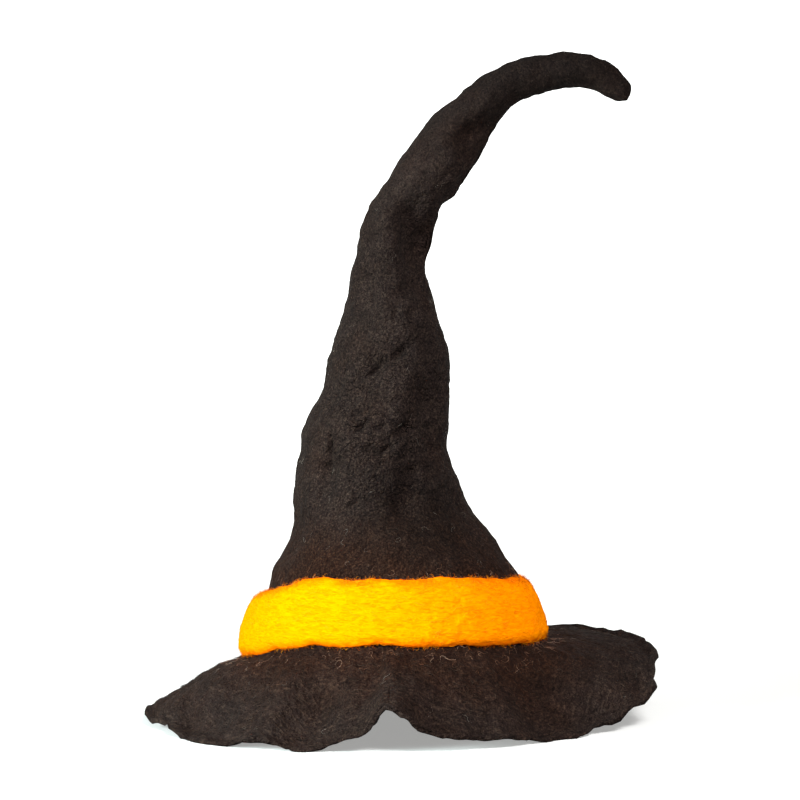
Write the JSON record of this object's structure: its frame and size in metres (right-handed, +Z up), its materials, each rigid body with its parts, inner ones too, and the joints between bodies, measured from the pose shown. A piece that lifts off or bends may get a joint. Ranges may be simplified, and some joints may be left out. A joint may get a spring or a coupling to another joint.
{
  "type": "wizard hat",
  "caption": "Tall pointed wizard hat in hand-felted wool, with a dented crown, a peak that curls over to one side, a wavy brim and a thick bright felt band.",
  "frame": {"origin": "on the floor the hat stands on, under the middle of its box", "axes": "+Z up, -Y the front, +X the side that the peak curls over to"},
  "size_m": [0.3342, 0.325, 0.4305],
  "materials": {
    "black_felt": "matte, fuzzy hand-felted wool",
    "orange_felt": "matte, fuzzy hand-felted wool"
  },
  "bodies": {
    "root": {"crown_and_brim": "black_felt", "hat_band": "orange_felt"}
  },
  "joints": []
}
